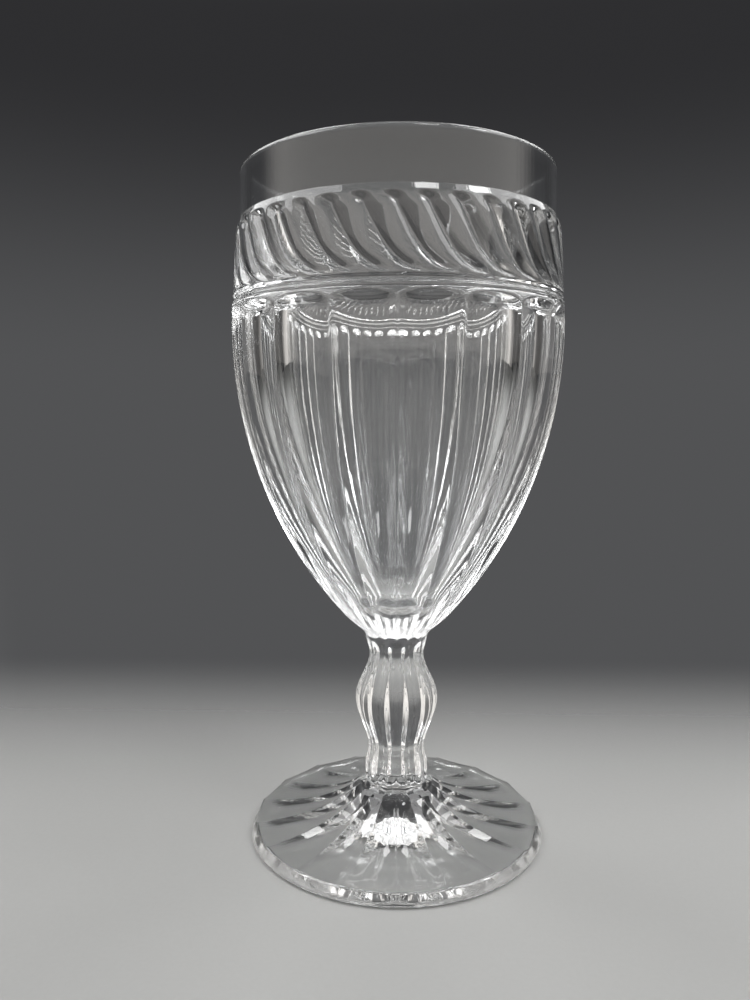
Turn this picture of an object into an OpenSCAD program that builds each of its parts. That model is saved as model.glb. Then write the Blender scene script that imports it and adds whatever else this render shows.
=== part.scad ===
// Footed iced tea glass in clear pressed glass: a fluted bowl, a panelled baluster stem and a panelled foot.
// The three pieces are pressed apart and joined hot, end to end, so they meet on flat weld faces.
// Millimetres, +Z up. The origin is the middle of the face that the foot rests on, and -Y is the front.

/* [Foot] */
// Largest radius of the foot
foot_r = 40.7; // [34:0.1:48]
// Height of the foot's edge at the upper corners of its panels
foot_edge_h = 3.2; // [2.6:0.1:5]
// Inward slope of the foot's edge, from its widest line to the upper corners
foot_edge_in = 1.1; // [0.6:0.1:2]
// Height at which the foot's slope meets the collar
foot_rise = 13; // [10:0.5:18]
// Number of panels round the foot
foot_panels = 18; // [12:1:24]
// Depth of a foot panel below its ridges, at the edge
foot_edge_d = 0.3; // [0.1:0.05:0.8]
// Further depth of a foot panel half-way up the slope
foot_panel_d = 0.5; // [0.2:0.1:1]
// Inner radius of the ring that the foot rests on
rest_r = 34; // [26:0.5:37]
// Height of the hollow under the foot
hollow_h = 1.6; // [0.6:0.1:2.2]
// Height of the collar between the foot's slope and the stem
collar_h = 5.6; // [3:0.1:9]
// Radius of the collar at its ridges
collar_r = 8.7; // [7.8:0.1:11]

/* [Stem] */
// Length of the stem between its weld faces
stem_h = 37; // [30:0.5:50]
// Number of panels round the stem and the collar
stem_panels = 10; // [6:1:14]
// Depth of a stem panel below its ridges, at the knop
stem_panel_d = 1.1; // [0.3:0.1:1.6]
// Radius of the lower neck
low_neck_r = 7.8; // [6:0.1:9]
// Largest radius of the knop
knop_r = 11.4; // [10:0.1:14]
// Height of the knop's widest line above the stem's foot
knop_h = 18.9; // [14:0.1:22]
// Reach of the knop's swelling below its widest line
knop_below = 14.5; // [9:0.1:18]
// Reach of the knop's swelling above its widest line
knop_above = 12.4; // [8:0.1:15]
// Radius of the upper neck
high_neck_r = 7.5; // [6:0.1:9]
// Radius of the weld face under the bowl
weld_r = 8.6; // [8:0.1:10]

/* [Bowl] */
// Height of the bowl, from its weld face to the lip
bowl_h = 122.4; // [100:0.5:140]
// Largest radius of the bowl, at the ridges between the flutes
bowl_r = 43.7; // [38:0.1:50]
// Outer radius of the lip
rim_r = 40.9; // [37:0.1:46]
// Thickness of the lip
rim_wall = 2.3; // [1.6:0.1:3]
// Wall between the ridges and the inside, at the widest line
bowl_wall = 5.3; // [4.8:0.1:6.5]
// Radius where the bowl's curve turns into the tip
tip_r = 13.8; // [12:0.1:17]
// Height of the tip above the weld face
tip_h = 4.9; // [3:0.1:8]
// Glass between the weld face and the floor of the inside
bottom_t = 10; // [7:0.5:14]
// Radius of the rounded floor of the inside
floor_r = 9.5; // [7:0.1:12]
// Depth of the rounded floor of the inside
floor_h = 4; // [3:0.5:6]

/* [Flutes] */
// Number of flutes round the bowl
flutes = 18; // [12:1:24]
// Depth of a flute below its ridges, at the widest line
flute_d = 2.2; // [0.8:0.05:2.6]
// Rise of the arch over a flute, from the ends of the ridges to its crown
arch_h = 1.5; // [0.5:0.1:2.2]
// Height of the sloped head of a flute under the crown of its arch
head_h = 2.4; // [1.8:0.1:4]
// Drop from the ends of the ridges to the bowl's widest line
wide_drop = 3.6; // [1:0.1:8]

/* [Gadroon band] */
// Plain glass between the lip and the band
rim_h = 14; // [8:0.5:20]
// Height of the band
band_h = 18; // [12:0.5:24]
// Number of lobes round the band
lobes = 36; // [24:1:44]
// Height of a lobe above the valleys beside it
lobe_d = 1; // [0.3:0.1:1.4]
// Turn of a lobe from its head to its tail, in degrees
lobe_lean = 20; // [8:1:28]
// Angle round the bowl at which a lobe's tail ends, from the front
lobe_start = -2; // [-5:0.5:5]
// Outer radius of the valleys at the top of the band
band_top_r = 41.6; // [40.5:0.1:45]
// Outer radius of the valleys at the bottom of the band
band_low_r = 42.4; // [41:0.1:46]

/* [Plain ring] */
// Height of the cove between the band and the ring
cove_h = 1.5; // [0.8:0.1:3]
// Height of the half-round ring
ring_h = 1.3; // [0.8:0.1:2.4]
// How far the ring stands out from the coves beside it
ring_d = 0.4; // [0.2:0.05:0.8]
// Plain glass between the ring and the crowns of the arches
land_h = 0.5; // [0.2:0.1:1.5]

/* [Hidden] */

// Facets round each part, kept as a whole number for each flute, lobe or panel
per_flute = 8;
per_lobe = 5;
per_foot_panel = 4;
per_stem_panel = 4;
plain_n = 48;

// Heights of the weld faces, the lip and the bands between them
stem_z = foot_rise + collar_h;
weld_z = stem_z + stem_h;
lip_z = weld_z + bowl_h;
band_top_z = lip_z - rim_h;
band_low_z = band_top_z - band_h;
ring_top_z = band_low_z - cove_h;
ring_low_z = ring_top_z - ring_h;
spring_z = ring_low_z - land_h - arch_h;
head_z = spring_z + arch_h - head_h;
wide_z = spring_z - wide_drop;
tip_z = weld_z + tip_h;
floor_z = weld_z + bottom_t;
knop_z = stem_z + knop_h;

// Small steps that give each moulding its edge
band_shoulder_h = 1.2;
foot_round = 0.8;
weld_slope = 0.4;

// Curves: how much of the foot's rise is an even slope, how full the knop is, and how a lobe bends
foot_even_share = 0.22;
knop_fullness = 1.8;
sweep_share = 0.4;
sweep_power = 8;
lobe_head = 0.16;
lobe_tail = 0.1;
lobe_tip = 0.06;

// Rows of points: shares along a lobe, and angles over the ring, the rounded lip and the floor
lobe_rows = [1, 0.95, 0.86, 0.68, 0.44, 0.2, 0.06, 0];
ring_angles = [-90, -50, 0, 50, 90];
lip_angles = [0 : 45 : 180];
floor_angles = [30, 60, 84];
foot_steps = 7;
hollow_steps = 6;
stem_steps = 20;
flute_steps = 10;
wall_steps = 7;

// Crowding of the bowl's rows towards the tip, outside and inside
flute_crowding = 1.3;
wall_crowding = 0.8;

glass = [0.86, 0.91, 0.92, 0.5];

function frac(x) = x - floor(x);
function mix(a, b, t) = a + (b - a) * t;
function ease(t) = let (c = max(0, min(1, t))) c * c * (3 - 2 * c);

// Place across one of n equal panels: 1 on the ridges, 0 in the middle. A ridge lies at angle "first".
function across(a, n, first = 0) = abs(1 - 2 * frac((a - first) * n / 360));

// Cubic through two ends with a slope at each
function cubic(t, h, r0, r1, s0, s1) =
    r0 * (2 * t ^ 3 - 3 * t ^ 2 + 1) + h * s0 * (t ^ 3 - 2 * t ^ 2 + t)
    + r1 * (3 * t ^ 2 - 2 * t ^ 3) + h * s1 * (t ^ 3 - t ^ 2);

// Arc that leaves the widest line upright and passes the point "dr" further in and "dz" lower
function arc_radius(dr, dz) = (dr ^ 2 + dz ^ 2) / (2 * dr);
function arc_in(dz, big) = big - sqrt(big ^ 2 - dz ^ 2);

// One ring of a skin: n points, each at radius rf(a) and height zf(a). Angle 0 is the front, +X follows.
function ring(n, rf, zf, turn = 0) = [
    for (i = [0 : n - 1])
        let (a = turn + 360 * i / n)
        [rf(a) * sin(a), -rf(a) * cos(a), zf(a)]
];
function plain_ring(n, r, z, turn = 0) = ring(n, function(a) r, function(a) z, turn);

// Index, in a ring of m points, that the edge i of a ring of n points is joined to
function joined(i, n, m) = floor((i + 0.5) * m / n + 0.5);

// Triangles between a ring of n points from index "s" on and the next ring of m points
function zip(s, n, m) = [
    for (i = [0 : n - 1])
        let (b = joined(i, n, m), before = joined(i - 1, n, m))
        each concat(
            [[s + i, s + n + b % m, s + (i + 1) % n]],
            b > before ? [for (k = [before : b - 1]) [s + i, s + n + (k + m) % m, s + n + (k + 1) % m]] : []
        )
];

// Closed solid through a list of rings, with flat ends
module skin(rings) {
    counts = [for (r = rings) len(r)];
    starts = [for (i = 0, s = 0; i < len(rings); s = s + counts[i], i = i + 1) s];
    last = len(rings) - 1;
    sides = [for (i = [0 : last - 1]) each zip(starts[i], counts[i], counts[i + 1])];
    low_end = [for (i = [0 : counts[0] - 1]) i];
    high_end = [for (i = [counts[last] - 1 : -1 : 0]) starts[last] + i];
    polyhedron([for (r = rings) each r], concat(sides, [low_end, high_end]));
}

// Section shared by the stem and the collar: panels with a ridge half a panel to each side of the front
function stem_section(r, a) =
    r - stem_panel_d * (r / knop_r) * (1 - across(a, stem_panels, 180 / stem_panels) ^ 2);

// Foot: radius and height of its ridges, as a share t of the way from the edge to the collar
function foot_ridge_r(t) = mix(foot_r - foot_edge_in, collar_r + foot_round, t);
function foot_ridge_z(t) = mix(foot_edge_h, foot_rise, mix(t ^ 3, t, foot_even_share));

// Foot: drop of a panel below its ridges at angle a
function foot_drop(a, t) =
    (foot_edge_d * (1 - t) + foot_panel_d * sin(180 * t)) * (1 - across(a, foot_panels) ^ 2);

module foot() {
    n = foot_panels * per_foot_panel;
    collar_n = stem_panels * per_stem_panel;
    flat = cos(180 / foot_panels);
    edge_r = foot_r - foot_edge_in;
    chord = function(a) edge_r * flat / cos(180 / foot_panels * across(a, foot_panels));
    slope = [
        for (i = [1 : foot_steps])
            let (t = i / (foot_steps + 1), r = foot_ridge_r(t))
            ring(
                n,
                function(a) r,
                function(a) foot_ridge_z(t) - foot_drop(a, t)
            )
    ];
    collar = [
        for (z = [foot_rise, stem_z])
            ring(collar_n, function(a) stem_section(collar_r, a), function(a) z)
    ];
    hollow = [
        for (i = [hollow_steps : -1 : 0])
            let (t = i / hollow_steps)
            [rest_r * t, hollow_h * (1 - t ^ 2)]
    ];
    color(glass)
        difference() {
            skin(concat(
                [
                    plain_ring(n, foot_r - foot_round, 0),
                    plain_ring(n, foot_r, foot_round),
                    ring(n, chord, function(a) foot_edge_h - foot_drop(a, 0))
                ],
                slope,
                collar
            ));
            rotate_extrude($fn = 96)
                polygon(concat([[0, -hollow_h], [rest_r, -hollow_h]], hollow));
        }
}

// Stem: radius of its ridges at height z
function stem_r(z) =
    let (
        reach = z < knop_z ? knop_below : knop_above,
        neck = z < knop_z ? low_neck_r : high_neck_r,
        swell = cos(90 * min(1, abs(z - knop_z) / reach)) ^ knop_fullness,
        low_flare = (collar_r - low_neck_r) * (1 - ease((z - stem_z) / (knop_h - knop_below))),
        high_flare = (weld_r - high_neck_r) * ease((z - knop_z - knop_above) / (stem_h - knop_h - knop_above))
    )
    mix(neck, knop_r, swell) + (z < knop_z ? low_flare : high_flare);

module stem() {
    n = stem_panels * per_stem_panel;
    color(glass)
        skin([
            for (i = [0 : stem_steps])
                let (
                    z = mix(stem_z, weld_z, i / stem_steps),
                    round_off = ease((z - knop_z - knop_above) / (weld_z - knop_z - knop_above))
                )
                ring(
                    n,
                    function(a) mix(stem_section(stem_r(z), a), stem_r(z), round_off),
                    function(a) z
                )
        ]);
}

// Bowl: radius of its ridges at height z. The arc stands upright at the widest line.
function bowl_ridge(z) =
    let (
        big = arc_radius(bowl_r - tip_r, wide_z - tip_z),
        tip_slope = (wide_z - tip_z) / sqrt(big ^ 2 - (wide_z - tip_z) ^ 2)
    )
    z < tip_z
        ? cubic((z - weld_z) / tip_h, tip_h, weld_r, tip_r, weld_slope, tip_slope)
        : bowl_r - arc_in(wide_z - z, big);

// Bowl: outside of a flute at angle a and height z
function fluted(a, z) =
    let (r = bowl_ridge(z))
    r - flute_d * (r / bowl_r) * ease((z - weld_z) / tip_h) * (1 - across(a, flutes) ^ 2);

// Bowl: radius of the inside at height z, above the rounded floor
function inside(z) =
    let (
        wide = bowl_r - bowl_wall,
        turn_z = floor_z + floor_h,
        big = arc_radius(wide - floor_r, wide_z - turn_z)
    )
    z < wide_z
        ? wide - arc_in(wide_z - z, big)
        : mix(wide, rim_r - rim_wall, (z - wide_z) / (lip_z - wide_z));

// Rings from the weld face up the flutes and their sloped heads to the foot of the plain ring
function flute_rings() =
    let (n = flutes * per_flute, land = bowl_ridge(spring_z))
    concat(
        [
            for (i = [0 : flute_steps])
                let (z = mix(weld_z, wide_z, (i / flute_steps) ^ flute_crowding))
                ring(n, function(a) fluted(a, z), function(a) z)
        ],
        [
            ring(n, function(a) fluted(a, head_z), function(a) head_z),
            ring(n, function(a) land, function(a) spring_z + arch_h * (1 - across(a, flutes) ^ 2)),
            plain_ring(n, land, ring_low_z)
        ]
    );

// Rings over the plain ring, between its two coves
function ring_rings() =
    let (n = lobes * per_lobe, base = bowl_ridge(spring_z) - ring_d, mid = (ring_low_z + ring_top_z) / 2)
    [
        for (f = ring_angles)
            plain_ring(n, base + ring_d * cos(f), mid + ring_h / 2 * sin(f), lobe_start)
    ];

// Turn of a lobe at share t of the way from its head to its tail: it leans, then sweeps along the band's foot
function lean(t) = lobe_lean * mix(t, t ^ sweep_power, sweep_share);

// Share of its full width that a lobe has at share t: it rounds off at the head and at the tail
function lobe_width(t) =
    let (head = max(0, 1 - t / lobe_head), tail = max(0, 1 - (1 - t) / lobe_tail))
    max(lobe_tip, sqrt(max(0, 1 - head ^ 2 - tail ^ 2)));

// Rings of the gadroon band, from its foot up. Each ring turns with the lobes, so the valleys stay sharp.
function band_rings() =
    let (n = lobes * per_lobe, head_turn = lobe_start - lobe_lean)
    concat(
        [
            for (t = lobe_rows)
                let (turn = head_turn + lean(t), w = lobe_width(t), base = mix(band_top_r, band_low_r, t))
                ring(
                    n,
                    function(a) base + lobe_d * w * max(0, 1 - (across(a - turn, lobes) / w) ^ 2),
                    function(a) mix(band_top_z, band_low_z, t),
                    turn
                )
        ],
        [plain_ring(n, (band_top_r + rim_r) / 2, band_top_z + band_shoulder_h, head_turn)]
    );

// Rings over the rounded lip and down the inside to the floor
function inner_rings() =
    let (
        half = rim_wall / 2,
        turn_z = floor_z + floor_h,
        first = lobe_start - lobe_lean
    )
    concat(
        [
            for (f = lip_angles)
                plain_ring(plain_n, rim_r - half + half * cos(f), lip_z - half + half * sin(f), first)
        ],
        [plain_ring(plain_n, inside(band_low_z), band_low_z, first)],
        [
            for (i = [0 : wall_steps])
                let (z = mix(wide_z, turn_z, (i / wall_steps) ^ wall_crowding))
                plain_ring(plain_n, inside(z), z, first)
        ],
        [
            for (f = floor_angles)
                plain_ring(plain_n, floor_r * cos(f), turn_z - floor_h * sin(f), first)
        ]
    );

module bowl() {
    color(glass)
        skin(concat(flute_rings(), ring_rings(), band_rings(), inner_rings()));
}

foot();
stem();
bowl();
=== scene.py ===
"""Looks of a footed iced tea glass in clear pressed glass: bowl, stem and foot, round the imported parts."""

import math

import bpy
import numpy as np
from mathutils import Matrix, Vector


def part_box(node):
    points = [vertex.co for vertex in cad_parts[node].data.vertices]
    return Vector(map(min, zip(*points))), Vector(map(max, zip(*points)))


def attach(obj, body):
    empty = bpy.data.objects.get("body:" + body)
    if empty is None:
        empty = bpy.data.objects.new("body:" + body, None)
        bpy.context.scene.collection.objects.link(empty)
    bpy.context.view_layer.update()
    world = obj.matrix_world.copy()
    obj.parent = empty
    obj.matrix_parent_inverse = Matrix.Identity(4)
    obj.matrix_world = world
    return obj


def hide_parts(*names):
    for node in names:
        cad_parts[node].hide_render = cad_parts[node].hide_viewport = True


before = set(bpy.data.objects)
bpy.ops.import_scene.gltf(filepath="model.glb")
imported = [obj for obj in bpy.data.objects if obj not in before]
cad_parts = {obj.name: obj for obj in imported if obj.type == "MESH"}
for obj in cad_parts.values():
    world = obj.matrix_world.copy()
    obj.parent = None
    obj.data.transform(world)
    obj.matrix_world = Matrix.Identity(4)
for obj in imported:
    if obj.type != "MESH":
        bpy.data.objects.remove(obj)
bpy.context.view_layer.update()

MM = 0.001

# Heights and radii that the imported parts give
FOOT_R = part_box("foot")[1].x
STEM_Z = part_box("stem")[0].z
WELD_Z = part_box("bowl")[0].z
LIP_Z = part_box("bowl")[1].z

# Foot
FOOT_PANELS = 18
FOOT_EDGE_D = 0.3 * MM
FOOT_PANEL_D = 0.5 * MM
FOOT_PANEL_START = 0.2
FOOT_PANEL_END = 0.14
FOOT_CORNER_SHARE = 0.125
FOOT_EDGE_H = 3.2 * MM
FOOT_EDGE_IN = 1.1 * MM
FOOT_ROUND = 0.8 * MM
FOOT_RISE = 13 * MM
FOOT_EVEN_SHARE = 0.22
REST_R = 34 * MM
HOLLOW_H = 1.6 * MM
COLLAR_R = 8.7 * MM

# Stem
STEM_PANELS = 10
STEM_PANEL_D = 1.1 * MM
STEM_ROUNDING = 0.14
LOW_NECK_R = 7.8 * MM
KNOP_R = 11.4 * MM
KNOP_Z = STEM_Z + 18.9 * MM
KNOP_BELOW = 14.5 * MM
KNOP_ABOVE = 12.4 * MM
KNOP_FULLNESS = 1.8
HIGH_NECK_R = 7.5 * MM
WELD_R = 8.6 * MM
NECK_ROUND = 3 * MM

# Bowl
BOWL_R = 43.7 * MM
RIM_R = 40.9 * MM
RIM_WALL = 2.3 * MM
BOWL_WALL = 5.3 * MM
TIP_R = 13.8 * MM
TIP_Z = WELD_Z + 4.9 * MM
WELD_SLOPE = 0.4
FLOOR_Z = WELD_Z + 10 * MM
FLOOR_R = 9.5 * MM
FLOOR_H = 4 * MM

# Gadroon band
BAND_TOP_Z = LIP_Z - 14.3 * MM
BAND_LOW_Z = LIP_Z - 32 * MM
BAND_TOP_R = 41.6 * MM
BAND_LOW_R = 42.4 * MM
LOBES = 36
LOBE_OUT = 0.9 * MM
LOBE_D = 1.25 * MM
LOBE_LEAN = math.radians(20)
LOBE_START = math.radians(-2)
LOBE_HEAD = 0.2
LOBE_HEAD_WIDTH = 0.6
VALLEY_HEAD = 0.11
VALLEY_TAIL = 0.13
SWEEP_SHARE = 0.4
SWEEP_POWER = 6
SHOULDER_H = 1.5 * MM
SHOULDER_IN = 0.6 * MM
SHOULDER_SHARE = 0.2

# Plain ring and the coves beside it
COVE_H = 1.5 * MM
COVE_D = 0.7 * MM
RING_H = 1.3 * MM
RING_D = 0.4 * MM
RING_TOP_Z = BAND_LOW_Z - COVE_H
RING_LOW_Z = RING_TOP_Z - RING_H
RING_START_OUT = 0.3 * RING_D
RING_START_UP = 0.05 * RING_H

# Flutes
FLUTES = 18
FLUTE_D = 2.2 * MM
LAND_H = 0.5 * MM
ARCH_H = 1.5 * MM
HEAD_H = 2.4 * MM
HEAD_SCOOP = 1.15
WIDE_DROP = 3.6 * MM
SPRING_Z = RING_LOW_Z - LAND_H - ARCH_H
HEAD_Z = SPRING_Z + ARCH_H - HEAD_H
WIDE_Z = SPRING_Z - WIDE_DROP
FLUTE_END = 2 * MM
RIDGE_ROUNDING = 0.05

# Fineness of the meshes: columns across a panel, a lobe or a whole ring
RIDGE_CROWDING = 0.75
FLUTE_COLUMNS = 24
STEM_PANEL_COLUMNS = 24
FOOT_PANEL_COLUMNS = 16
LOBE_COLUMNS = 16
RING_COLUMNS = 360
INSIDE_COLUMNS = 240

# Fineness of the meshes: rows, their crowding and places along a form, and steps round a rounding in degrees
FLUTE_ROWS = 72
FLUTE_CROWDING = 1.2
HEAD_ROWS = 10
BAND_ROWS = 46
INSIDE_ROWS = 60
INSIDE_CROWDING = 0.9
STEM_ROWS = 96
FOOT_ROWS = 34
COLLAR_ROWS = 10
HOLLOW_ROWS = 18
HOLLOW_START = 0.04
COVE_PLACES = (0.2, 0.4, 0.6, 0.8)
SHOULDER_PLACES = (0.12, 0.5, 0.94)
RIM_PLACES = (0.0, 0.012, 0.25, 0.6, 0.98, 1.0)
FOOT_EDGE_PLACES = (0.3, 0.6, 0.85)
FOOT_EDGE_STEP = 30
RING_STEP = 15
LIP_STEP = 12
FLOOR_STEP = 8

# Finish of the glass
GLASS_CLEAR = (0.985, 0.99, 0.992, 1.0)
GLASS_GREY = (0.965, 0.974, 0.976, 1.0)
GLASS_INDEX = 1.52
CLOUD_SCALE = 45.0
HAZE = 0.012
RIPPLE_SCALE = 160.0
RIPPLE_SHARE = 0.15
STREAK_SCALE = 45.0
STREAK_DRAW = 0.5
STREAK_D = 0.022 * MM

# Floor. It fades out between two distances behind the glass, and within two slants to the sides
FLOOR_PALE = (0.48, 0.48, 0.47, 1.0)
FLOOR_GRAIN = (0.456, 0.456, 0.4465, 1.0)
FLOOR_ROUGHNESS = 0.75
GRAIN_SCALE = 900.0
FLOOR_REACH = 1.6
FLOOR_SIDES = 128
AIR_GAP = 0.15 * MM
FADE_BACK = (-0.01, 0.16)
FADE_SIDES = (0.95, 0.48)

# Backdrop and room. UP is a direction's height and TURN its cosine to the back, from start to full
FILL_LIGHT = 0.08
BACKDROP = (0.085, 0.086, 0.089, 1.0)
BACKDROP_HIGH = (0.028, 0.028, 0.03, 1.0)
BACKDROP_HIGH_UP = (0.05, 0.38)
WINGS = (0.02, 0.02, 0.021, 1.0)
WINGS_TURN = (0.88, 0.6)
ROOM = (1.0, 0.96, 0.91, 1.0)
ROOM_TURN = (0.4, -0.1)
CEILING = (0.2, 0.2, 0.2, 1.0)
CEILING_UP = (0.42, 0.8)

# Softboxes: azimuth and elevation in degrees, width and height in metres, power
LAMP_FAR = 0.65
TOP_BOX = (180, 84, (0.24, 0.24), 0.1)
BANK_TURNS = (63, 107)
BANK_BOX = (46, (0.34, 0.32), 1.22)
BACK_TURNS = (-26, 26)
BACK_BOX = (57, (0.09, 0.18), 0.4)
FRONT_BOX = (154, 60, (0.12, 0.10), 0.47)
SIDE_BOX = (107, 53, (0.12, 0.10), 0.47)

# How often light may turn on its way through the glass
GLASS_BOUNCES = 32
GLOSS_BOUNCES = 16

# Camera, at the photograph's viewing angle
LENS_MM = 28.8
CAMERA_BACK = 218.1 * MM
CAMERA_UP = 115.1 * MM
CAMERA_DOWN = math.radians(5.88)
CAMERA_LEFT = math.radians(1.58)
CAMERA_NEAR = 10 * MM


def mix(a, b, t):
    return a + (b - a) * t


def ease(t):
    c = np.clip(t, 0.0, 1.0)
    return c * c * (3 - 2 * c)


def cubic(t, span, r0, r1, s0, s1):
    """Curve through two radii with a slope at each."""
    rise = 3 * t**2 - 2 * t**3
    return r0 * (1 - rise) + r1 * rise + span * s0 * (t**3 - 2 * t**2 + t) + span * s1 * (t**3 - t**2)


def arc_radius(dr, dz):
    return (dr**2 + dz**2) / (2 * dr)


def arc_in(dz, big):
    return big - np.sqrt(big**2 - dz**2)


class Ring:
    """A closed ring of points at given angles round the axis. Angle 0 is the front, and +X follows."""

    def __init__(self, angles, radius, height):
        self.angles = np.asarray(angles, float)
        r = np.broadcast_to(radius, self.angles.shape)
        z = np.broadcast_to(height, self.angles.shape)
        self.points = np.stack([r * np.sin(self.angles), -r * np.cos(self.angles), z], axis=1)


def even(count, first=0.0):
    return first + np.arange(count) * (2 * math.pi / count)


def quads(low, high, count):
    here = np.arange(count)
    there = (here + 1) % count
    return np.stack([low + here, low + there, high + there, high + here], axis=1).tolist()


def zipped(low, low_angles, high, high_angles):
    """Triangles between two rings of different counts, taken in order of angle."""
    shift = int(np.argmin(np.abs(high_angles - low_angles[0])))
    a = np.append(low_angles, low_angles[0] + 2 * math.pi)
    b = np.append(high_angles[shift:], high_angles[: shift + 1] + 2 * math.pi)
    n = len(low_angles)
    m = len(high_angles)
    faces = []
    i = 0
    j = 0
    while i < n or j < m:
        here = low + i % n
        there = high + (shift + j) % m
        if j == m or (i < n and a[i + 1] <= b[j + 1]):
            faces.append([here, low + (i + 1) % n, there])
            i += 1
        else:
            faces.append([here, high + (shift + j + 1) % m, there])
            j += 1
    return faces


def glass_piece(name, node, rings, weld_first=False, weld_last=False):
    """Closed mesh through the rings, with a point at the middle of each end. Weld faces get their own
    material, and sharp edges round them."""
    starts = np.cumsum([0] + [len(r.angles) for r in rings])
    points = [r.points for r in rings]
    faces = []
    for k in range(len(rings) - 1):
        n = len(rings[k].angles)
        if n == len(rings[k + 1].angles):
            faces += quads(int(starts[k]), int(starts[k + 1]), n)
        else:
            faces += zipped(int(starts[k]), rings[k].angles, int(starts[k + 1]), rings[k + 1].angles)
    slots = [0] * len(faces)
    ends = ((rings[0], 0, weld_first, 1), (rings[-1], int(starts[-2]), weld_last, 0))
    for k, (ring, start, weld, turn) in enumerate(ends):
        n = len(ring.angles)
        middle = int(starts[-1]) + k
        points.append(np.array([[0.0, 0.0, ring.points[:, 2].mean()]]))
        for i in range(n):
            faces.append([start + (i + turn) % n, start + (i + 1 - turn) % n, middle])
        slots += [int(weld)] * n
    mesh = bpy.data.meshes.new(name)
    mesh.from_pydata(np.concatenate(points).tolist(), [], faces)
    mesh.polygons.foreach_set("use_smooth", [True] * len(faces))
    mesh.materials.append(CLEAR_GLASS)
    mesh.materials.append(WELD_FACE)
    mesh.polygons.foreach_set("material_index", slots)
    below = int(starts[1]) if weld_first else 0
    above = int(starts[-2]) if weld_last else int(starts[-1])
    sharpen(mesh, below, above)
    mesh.update()
    piece = bpy.data.objects.new(name, mesh)
    bpy.context.scene.collection.objects.link(piece)
    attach(piece, "root")
    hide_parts(node)


def sharpen(mesh, below, above):
    """Marks the edges round the weld faces sharp: those between points under "below" or from "above" on."""
    ends = np.zeros(len(mesh.edges) * 2, np.int32)
    mesh.edges.foreach_get("vertices", ends)
    ends = ends.reshape(-1, 2)
    sharp = (ends < below).all(axis=1) | (ends >= above).all(axis=1)
    mark = mesh.attributes.new("sharp_edge", "BOOLEAN", "EDGE")
    mark.data.foreach_set("value", sharp)


def panel_columns(panels, count):
    """Angles round a panelled section, crowded towards the ridges, and each one's distance from its ridge.
    The distance is 0 on a ridge and 1 in the middle of a panel. A ridge lies at angle 0."""
    s = np.arange(count) / count
    q = s - RIDGE_CROWDING * np.sin(2 * math.pi * s) / (2 * math.pi)
    angles = (np.arange(panels)[:, None] + q[None, :]) * (2 * math.pi / panels)
    return angles.ravel(), np.tile(2 * np.minimum(q, 1 - q), panels)


def panel_depth(u, rounding=RIDGE_ROUNDING):
    """Depth across a panel: 0 on its ridges, 1 in its middle, with the ridges rounded off."""
    v = (np.sqrt(u**2 + rounding**2) - rounding) / (math.sqrt(1 + rounding**2) - rounding)
    return v * (2 - v)


def bowl_ridge(z):
    """Radius of the ridges between the flutes. The bowl's arc stands upright at its widest line."""
    big = arc_radius(BOWL_R - TIP_R, WIDE_Z - TIP_Z)
    tip_slope = (WIDE_Z - TIP_Z) / math.sqrt(big**2 - (WIDE_Z - TIP_Z) ** 2)
    if z < TIP_Z:
        return cubic((z - WELD_Z) / (TIP_Z - WELD_Z), TIP_Z - WELD_Z, WELD_R, TIP_R, WELD_SLOPE, tip_slope)
    return BOWL_R - arc_in(WIDE_Z - z, big)


def bowl_inside(z):
    """Radius of the inside, above the rounded floor."""
    wide = BOWL_R - BOWL_WALL
    if z < WIDE_Z:
        big = arc_radius(wide - FLOOR_R, WIDE_Z - FLOOR_Z - FLOOR_H)
        return wide - arc_in(WIDE_Z - z, big)
    return mix(wide, RIM_R - RIM_WALL, (z - WIDE_Z) / (LIP_Z - WIDE_Z))


def flute_rings():
    """From the weld face up the flutes and their scooped heads to the plain ring over the arches."""
    angles, u = panel_columns(FLUTES, FLUTE_COLUMNS)
    hollow = panel_depth(u)
    arch = SPRING_Z + ARCH_H * (1 - (1 - u) ** 2)
    rings = []
    for i in range(FLUTE_ROWS + 1):
        z = mix(WELD_Z, HEAD_Z, (i / FLUTE_ROWS) ** FLUTE_CROWDING)
        r = bowl_ridge(z)
        depth = FLUTE_D * (r / BOWL_R) * ease((z - WELD_Z) / FLUTE_END)
        rings.append(Ring(angles, r - depth * hollow, z))
    land = bowl_ridge(SPRING_Z)
    for i in range(1, HEAD_ROWS + 1):
        t = i / HEAD_ROWS
        r = mix(bowl_ridge(HEAD_Z), land, t) - FLUTE_D * hollow * (1 - t**HEAD_SCOOP)
        rings.append(Ring(angles, r, mix(HEAD_Z, arch, t)))
    rings.append(Ring(angles, land, RING_LOW_Z))
    return rings


def ring_rings():
    """The plain half-round ring between its two coves."""
    angles = even(RING_COLUMNS, LOBE_START)
    middle = (RING_LOW_Z + RING_TOP_Z) / 2
    base = bowl_ridge(SPRING_Z) - RING_D
    rings = [Ring(angles, base + RING_START_OUT, RING_LOW_Z + RING_START_UP)]
    for f in np.radians(np.arange(RING_STEP - 90, 91, RING_STEP)):
        rings.append(Ring(angles, base + RING_D * math.cos(f), middle + RING_H / 2 * math.sin(f)))
    for t in COVE_PLACES:
        cove = mix(base, BAND_LOW_R + LOBE_OUT, t) - COVE_D * math.sin(math.pi * t)
        rings.append(Ring(angles, cove, mix(RING_TOP_Z, BAND_LOW_Z, t)))
    return rings


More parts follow.
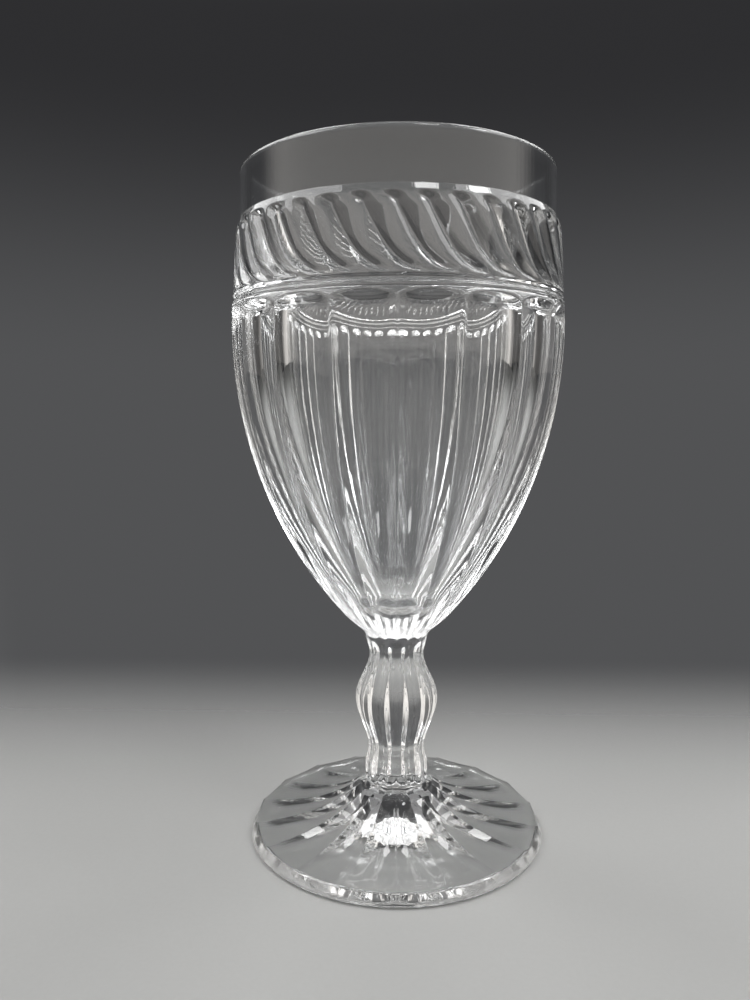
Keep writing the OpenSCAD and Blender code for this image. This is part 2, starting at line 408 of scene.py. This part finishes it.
def lobe_columns(width, first):
    """Angles round the row of lobes, and how deep each lies under the crests, from 0 to 1. A lobe is "width"
    wide as a share of its place, and its section is a low arc. A valley lies at angle "first"."""
    place = np.arange(LOBE_COLUMNS) / LOBE_COLUMNS
    off = np.minimum(1.0, np.abs(2 * place - 1) / width)
    angles = first + (np.arange(LOBES)[:, None] + place[None, :]) * (2 * math.pi / LOBES)
    return angles.ravel(), np.tile(off**2, LOBES)


def lean(t):
    """Turn of a lobe at share t of the way from its head to its tail. It leans, then sweeps along the
    band's foot."""
    return LOBE_LEAN * mix(t, t**SWEEP_POWER, SWEEP_SHARE)


def band_rings():
    """The gadroon band, from its foot up to its shoulder and the plain rim. The rings turn with the lobes,
    and the valleys between the lobes run out at both ends."""
    head_turn = LOBE_START - LOBE_LEAN
    rings = []
    for k in range(BAND_ROWS + 1):
        t = 1 - k / BAND_ROWS
        width = mix(LOBE_HEAD_WIDTH, 1.0, math.sqrt(1 - max(0.0, 1 - t / LOBE_HEAD) ** 2))
        depth = LOBE_D * ease(t / VALLEY_HEAD) * ease((1 - t) / VALLEY_TAIL)
        angles, valley = lobe_columns(width, head_turn + lean(t))
        taper = SHOULDER_IN * max(0.0, 1 - t / SHOULDER_SHARE) ** 2
        crest = mix(BAND_TOP_R, BAND_LOW_R, t) + LOBE_OUT - taper
        rings.append(Ring(angles, crest - depth * valley, mix(BAND_TOP_Z, BAND_LOW_Z, t)))
    plain = even(LOBES * LOBE_COLUMNS, head_turn)
    rim_foot = (BAND_TOP_R + RIM_R) / 2
    for t in SHOULDER_PLACES:
        rings.append(Ring(plain, mix(crest, rim_foot, t), BAND_TOP_Z + SHOULDER_H * t))
    half = RIM_WALL / 2
    for t in RIM_PLACES:
        rings.append(Ring(plain, mix(rim_foot, RIM_R, t), mix(BAND_TOP_Z + SHOULDER_H, LIP_Z - half, t)))
    return rings


def inner_rings():
    """Over the rounded lip and down the inside to the floor."""
    angles = even(INSIDE_COLUMNS, LOBE_START - LOBE_LEAN)
    half = RIM_WALL / 2
    turn_z = FLOOR_Z + FLOOR_H
    rings = []
    for f in np.radians(np.arange(LIP_STEP, 181, LIP_STEP)):
        rings.append(Ring(angles, RIM_R - half + half * math.cos(f), LIP_Z - half + half * math.sin(f)))
    for i in range(1, INSIDE_ROWS + 1):
        z = mix(LIP_Z - half, turn_z, (i / INSIDE_ROWS) ** INSIDE_CROWDING)
        rings.append(Ring(angles, bowl_inside(z), z))
    for f in np.radians(np.arange(FLOOR_STEP, 88, FLOOR_STEP)):
        rings.append(Ring(angles, FLOOR_R * math.cos(f), turn_z - FLOOR_H * math.sin(f)))
    return rings


def stem_columns():
    angles, u = panel_columns(STEM_PANELS, STEM_PANEL_COLUMNS)
    return angles + math.pi / STEM_PANELS, panel_depth(u, STEM_ROUNDING)


def stem_section(r, hollow):
    return r - STEM_PANEL_D * (r / KNOP_R) * hollow


def stem_ridge(z):
    """Radius of the stem's ridges: two necks with the knop between them, and a flare at each end."""
    below = z < KNOP_Z
    neck = LOW_NECK_R if below else HIGH_NECK_R
    reach = KNOP_BELOW if below else KNOP_ABOVE
    swell = math.cos(math.pi / 2 * min(1.0, abs(z - KNOP_Z) / reach)) ** KNOP_FULLNESS
    low_flare = (COLLAR_R - LOW_NECK_R) * (1 - ease((z - STEM_Z) / (KNOP_Z - KNOP_BELOW - STEM_Z)))
    high_flare = (WELD_R - HIGH_NECK_R) * ease((z - KNOP_Z - KNOP_ABOVE) / (WELD_Z - KNOP_Z - KNOP_ABOVE))
    return mix(neck, KNOP_R, swell) + (low_flare if below else high_flare)


def stem_rings():
    """From the collar's weld face up over the knop to the bowl's, where the panels round off."""
    angles, hollow = stem_columns()
    rings = []
    for i in range(STEM_ROWS + 1):
        z = mix(STEM_Z, WELD_Z, i / STEM_ROWS)
        r = stem_ridge(z)
        round_off = ease(1 - (WELD_Z - z) / NECK_ROUND)
        rings.append(Ring(angles, mix(stem_section(r, hollow), r, round_off), z))
    return rings


def foot_rings():
    """From the middle of the hollow underneath, over the resting ring and the edge, up the slope to the
    collar."""
    angles, u = panel_columns(FOOT_PANELS, FOOT_PANEL_COLUMNS)
    hollow = panel_depth(u)
    chord = math.cos(math.pi / FOOT_PANELS) / np.cos(math.pi / FOOT_PANELS * (1 - u))
    edge_r = FOOT_R - FOOT_EDGE_IN
    rings = []
    for t in np.linspace(HOLLOW_START, 1.0, HOLLOW_ROWS):
        rings.append(Ring(angles, REST_R * t, HOLLOW_H * (1 - t * t)))
    rest_edge = FOOT_R - FOOT_ROUND
    rings.append(Ring(angles, mix(REST_R, rest_edge, 0.5), 0.0))
    for f in np.radians(np.arange(0, 91, FOOT_EDGE_STEP)):
        rings.append(Ring(angles, rest_edge + FOOT_ROUND * math.sin(f), FOOT_ROUND * (1 - math.cos(f))))
    edge_z = FOOT_EDGE_H - FOOT_EDGE_D * hollow
    for t in FOOT_EDGE_PLACES:
        rings.append(Ring(angles, mix(FOOT_R, edge_r * chord, t), mix(FOOT_ROUND, edge_z, t)))
    for i in range(FOOT_ROWS):
        t = i / FOOT_ROWS
        r = mix(edge_r, COLLAR_R + FOOT_ROUND, t)
        z = mix(FOOT_EDGE_H, FOOT_RISE, mix(t**3, t, FOOT_EVEN_SHARE))
        shape = mix(chord, 1.0, min(1.0, t / FOOT_CORNER_SHARE))
        panel = ease(t / FOOT_PANEL_START) * ease((1 - t) / FOOT_PANEL_END)
        drop = FOOT_EDGE_D * (1 - t) + FOOT_PANEL_D * panel
        rings.append(Ring(angles, r * shape, z - drop * hollow))
    angles, hollow = stem_columns()
    for t in np.linspace(0.0, 1.0, COLLAR_ROWS):
        rings.append(Ring(angles, stem_section(COLLAR_R, hollow), mix(FOOT_RISE, STEM_Z, t)))
    return rings


class Wire:
    """A socket of a shader sheet. Sums on wires add Math nodes."""

    def __init__(self, sheet, socket):
        self.sheet = sheet
        self.socket = socket

    def sum(self, operation, *terms):
        return self.sheet.node("ShaderNodeMath", {"operation": operation}, dict(enumerate(terms)))

    def __abs__(self):
        return self.sum("ABSOLUTE", self)

    def __add__(self, other):
        return self.sum("ADD", self, other)

    def __radd__(self, other):
        return self.sum("ADD", other, self)

    def __mul__(self, other):
        return self.sum("MULTIPLY", self, other)

    def __rmul__(self, other):
        return self.sum("MULTIPLY", other, self)

    def __truediv__(self, other):
        return self.sum("DIVIDE", self, other)

    def __rtruediv__(self, other):
        return self.sum("DIVIDE", other, self)


class Sheet:
    """An empty node tree. All its nodes come from one method, and the others set that one's terms."""

    def __init__(self, owner):
        owner.use_nodes = True
        self.tree = owner.node_tree
        self.tree.nodes.clear()

    def node(self, kind, settings=None, sockets=None, out=0):
        """Adds a node, with its settings first and then its sockets, and returns one of its outputs."""
        made = self.tree.nodes.new(kind)
        for name, value in (settings or {}).items():
            setattr(made, name, value)
        for name, value in (sockets or {}).items():
            if isinstance(value, Wire):
                self.tree.links.new(value.socket, made.inputs[name])
            else:
                made.inputs[name].default_value = value
        return Wire(self, made.outputs[out]) if made.outputs else None

    def vector(self, operation, *terms, out=0):
        return self.node("ShaderNodeVectorMath", {"operation": operation}, dict(enumerate(terms)), out)

    def along(self, place, axis):
        """Reach of a place along an axis."""
        return self.vector("DOT_PRODUCT", place, axis, out="Value")

    def noise(self, place, scale, detail):
        return self.node("ShaderNodeTexNoise", {}, {"Vector": place, "Scale": scale, "Detail": detail})

    def smooth(self, value, low, high):
        """0 at low and 1 at high, eased between them."""
        sockets = {"Value": value, "From Min": low, "From Max": high, "To Min": 0.0, "To Max": 1.0}
        return self.node("ShaderNodeMapRange", {"interpolation_type": "SMOOTHSTEP"}, sockets)

    def blend(self, share, first, second):
        """The first colour where the share is 0, and the second where it is 1."""
        return self.node("ShaderNodeMix", {"data_type": "RGBA"}, {0: share, 6: first, 7: second}, out=2)


def clear_glass():
    """Fire-polished pressed glass: fine streaks drawn along the flutes and panels, soft ripples left by the
    mould, a trace of haze and of grey in the body. The streaks are weaker on the slim stem."""
    material = bpy.data.materials.new("clear_glass")
    sheet = Sheet(material)
    place = sheet.node("ShaderNodeTexCoord", out="Object")
    ripples = sheet.noise(place, RIPPLE_SCALE, 2.0)
    clouds = sheet.noise(place, CLOUD_SCALE, 3.0)
    tint = sheet.blend(clouds, GLASS_CLEAR, GLASS_GREY)
    flat = sheet.vector("MULTIPLY", place, (1.0, 1.0, 0.0))
    turn = sheet.vector("NORMALIZE", flat)
    drawn = sheet.vector("MULTIPLY_ADD", place, (STREAK_DRAW, STREAK_DRAW, STREAK_DRAW), turn)
    streaks = sheet.noise(drawn, STREAK_SCALE, 2.0)
    reach = sheet.vector("LENGTH", flat, out="Value") * (1 / BOWL_R)
    relief = ripples * RIPPLE_SHARE + streaks * reach * reach
    bump = sheet.node("ShaderNodeBump", {}, {"Strength": 1.0, "Distance": STREAK_D, "Height": relief})
    sockets = {"Base Color": tint, "Roughness": clouds * HAZE, "Normal": bump}
    sockets |= {"IOR": GLASS_INDEX, "Transmission Weight": 1.0}
    body = sheet.node("ShaderNodeBsdfPrincipled", {}, sockets)
    sheet.node("ShaderNodeOutputMaterial", {}, {"Surface": body})
    return material


def weld_face():
    """Hot joint between two pieces: the glass is one there, so light goes straight on."""
    material = bpy.data.materials.new("weld_face")
    sheet = Sheet(material)
    passing = sheet.node("ShaderNodeBsdfTransparent", {}, {"Color": (1.0, 1.0, 1.0, 1.0)})
    sheet.node("ShaderNodeOutputMaterial", {}, {"Surface": passing})
    return material


def pale_floor():
    """Pale floor just under the glass. It fades out behind the glass, where the camera looks, so that the
    plain backdrop shows there."""
    mesh = bpy.data.meshes.new("floor")
    corners = Ring(even(FLOOR_SIDES), FLOOR_REACH, -AIR_GAP).points.tolist()
    mesh.from_pydata(corners, [], [list(range(FLOOR_SIDES))])
    floor = bpy.data.objects.new("floor", mesh)
    bpy.context.scene.collection.objects.link(floor)
    material = bpy.data.materials.new("pale_floor")
    sheet = Sheet(material)
    place = sheet.node("ShaderNodeTexCoord", out="Object")
    back = sheet.along(place, (0.0, 1.0, 0.0))
    across = sheet.along(place, (1.0, 0.0, 0.0))
    slant = abs(across) / (back + CAMERA_BACK)
    fade = sheet.smooth(back, *FADE_BACK) * sheet.smooth(slant, *FADE_SIDES)
    tone = sheet.blend(sheet.noise(place, GRAIN_SCALE, 2.0), FLOOR_PALE, FLOOR_GRAIN)
    card = sheet.node("ShaderNodeBsdfPrincipled", {}, {"Base Color": tone, "Roughness": FLOOR_ROUGHNESS})
    clear = sheet.node("ShaderNodeBsdfTransparent")
    surface = sheet.node("ShaderNodeMixShader", {}, {0: fade, 1: card, 2: clear})
    sheet.node("ShaderNodeOutputMaterial", {}, {"Surface": surface})
    mesh.materials.append(material)


def studio_world():
    """Even fill light. The camera, gloss and glass see a dark backdrop behind the glass, palest at the
    horizon, with darker wings beside it, a pale room on the camera's side and a grey ceiling."""
    world = bpy.data.worlds.new("studio")
    bpy.context.scene.world = world
    sheet = Sheet(world)
    fill = sheet.node("ShaderNodeBackground", {}, {"Color": (1.0, 1.0, 1.0, 1.0), "Strength": FILL_LIGHT})
    way = sheet.node("ShaderNodeTexCoord", out="Generated")
    heading = sheet.vector("NORMALIZE", sheet.vector("MULTIPLY", way, (1.0, 1.0, 0.0)))
    ahead = sheet.along(heading, (0.0, 1.0, 0.0))
    up = sheet.along(way, (0.0, 0.0, 1.0))
    tone = sheet.blend(sheet.smooth(up, *BACKDROP_HIGH_UP), BACKDROP, BACKDROP_HIGH)
    tone = sheet.blend(sheet.smooth(ahead, *WINGS_TURN), tone, WINGS)
    tone = sheet.blend(sheet.smooth(ahead, *ROOM_TURN), tone, ROOM)
    tone = sheet.blend(sheet.smooth(up, *CEILING_UP), tone, CEILING)
    backdrop = sheet.node("ShaderNodeBackground", {}, {"Color": tone, "Strength": 1.0})
    seen = sheet.node("ShaderNodeLightPath", out="Is Camera Ray")
    glossy = sheet.node("ShaderNodeLightPath", out="Is Glossy Ray")
    through = sheet.node("ShaderNodeLightPath", out="Is Transmission Ray")
    shown = sheet.node("ShaderNodeMixShader", {}, {0: seen + glossy + through, 1: fill, 2: backdrop})
    sheet.node("ShaderNodeOutputWorld", {}, {"Surface": shown})


def softbox(name, azimuth, elevation, size, power):
    """Plain rectangular soft light aimed at the glass, which the camera itself doesn't see. Azimuth 0 is
    behind the glass and 90 to its right."""
    lamp = bpy.data.lights.new(name, "AREA")
    lamp.shape = "RECTANGLE"
    lamp.size, lamp.size_y = size
    lamp.energy = power
    light = bpy.data.objects.new(name, lamp)
    bpy.context.scene.collection.objects.link(light)
    turn = math.radians(azimuth)
    flat = LAMP_FAR * math.cos(math.radians(elevation))
    high = LAMP_FAR * math.sin(math.radians(elevation))
    away = Vector((flat * math.sin(turn), flat * math.cos(turn), high))
    light.location = away + Vector((0.0, 0.0, LIP_Z / 2))
    light.rotation_euler = away.to_track_quat("Z", "Y").to_euler()
    light.visible_camera = False


def camera():
    lens = bpy.data.cameras.new("camera")
    lens.lens = LENS_MM
    lens.clip_start = CAMERA_NEAR
    view = bpy.data.objects.new("camera", lens)
    bpy.context.scene.collection.objects.link(view)
    view.location = (0.0, -CAMERA_BACK, CAMERA_UP)
    view.rotation_euler = (math.pi / 2 - CAMERA_DOWN, 0.0, CAMERA_LEFT)
    bpy.context.scene.camera = view


CLEAR_GLASS = clear_glass()
WELD_FACE = weld_face()

bowl_rings = flute_rings() + ring_rings() + band_rings() + inner_rings()
glass_piece("bowl_glass", "bowl", bowl_rings, weld_first=True)
glass_piece("stem_glass", "stem", stem_rings(), weld_first=True, weld_last=True)
glass_piece("foot_glass", "foot", foot_rings(), weld_last=True)

pale_floor()
studio_world()
camera()
softbox("top_softbox", *TOP_BOX)
for k, azimuth in enumerate(BANK_TURNS):
    softbox(f"right_softbox_{k}", azimuth, *BANK_BOX)
    softbox(f"left_softbox_{k}", -azimuth, *BANK_BOX)
for k, azimuth in enumerate(BACK_TURNS):
    softbox(f"back_softbox_{k}", azimuth, *BACK_BOX)
softbox("front_softbox", *FRONT_BOX)
softbox("side_softbox", *SIDE_BOX)

scene = bpy.context.scene
scene.view_settings.view_transform = "Standard"
scene.cycles.max_bounces = GLASS_BOUNCES
scene.cycles.transmission_bounces = GLASS_BOUNCES
scene.cycles.glossy_bounces = GLOSS_BOUNCES
scene.cycles.transparent_max_bounces = GLASS_BOUNCES
scene.cycles.caustics_refractive = True
scene.cycles.caustics_reflective = False
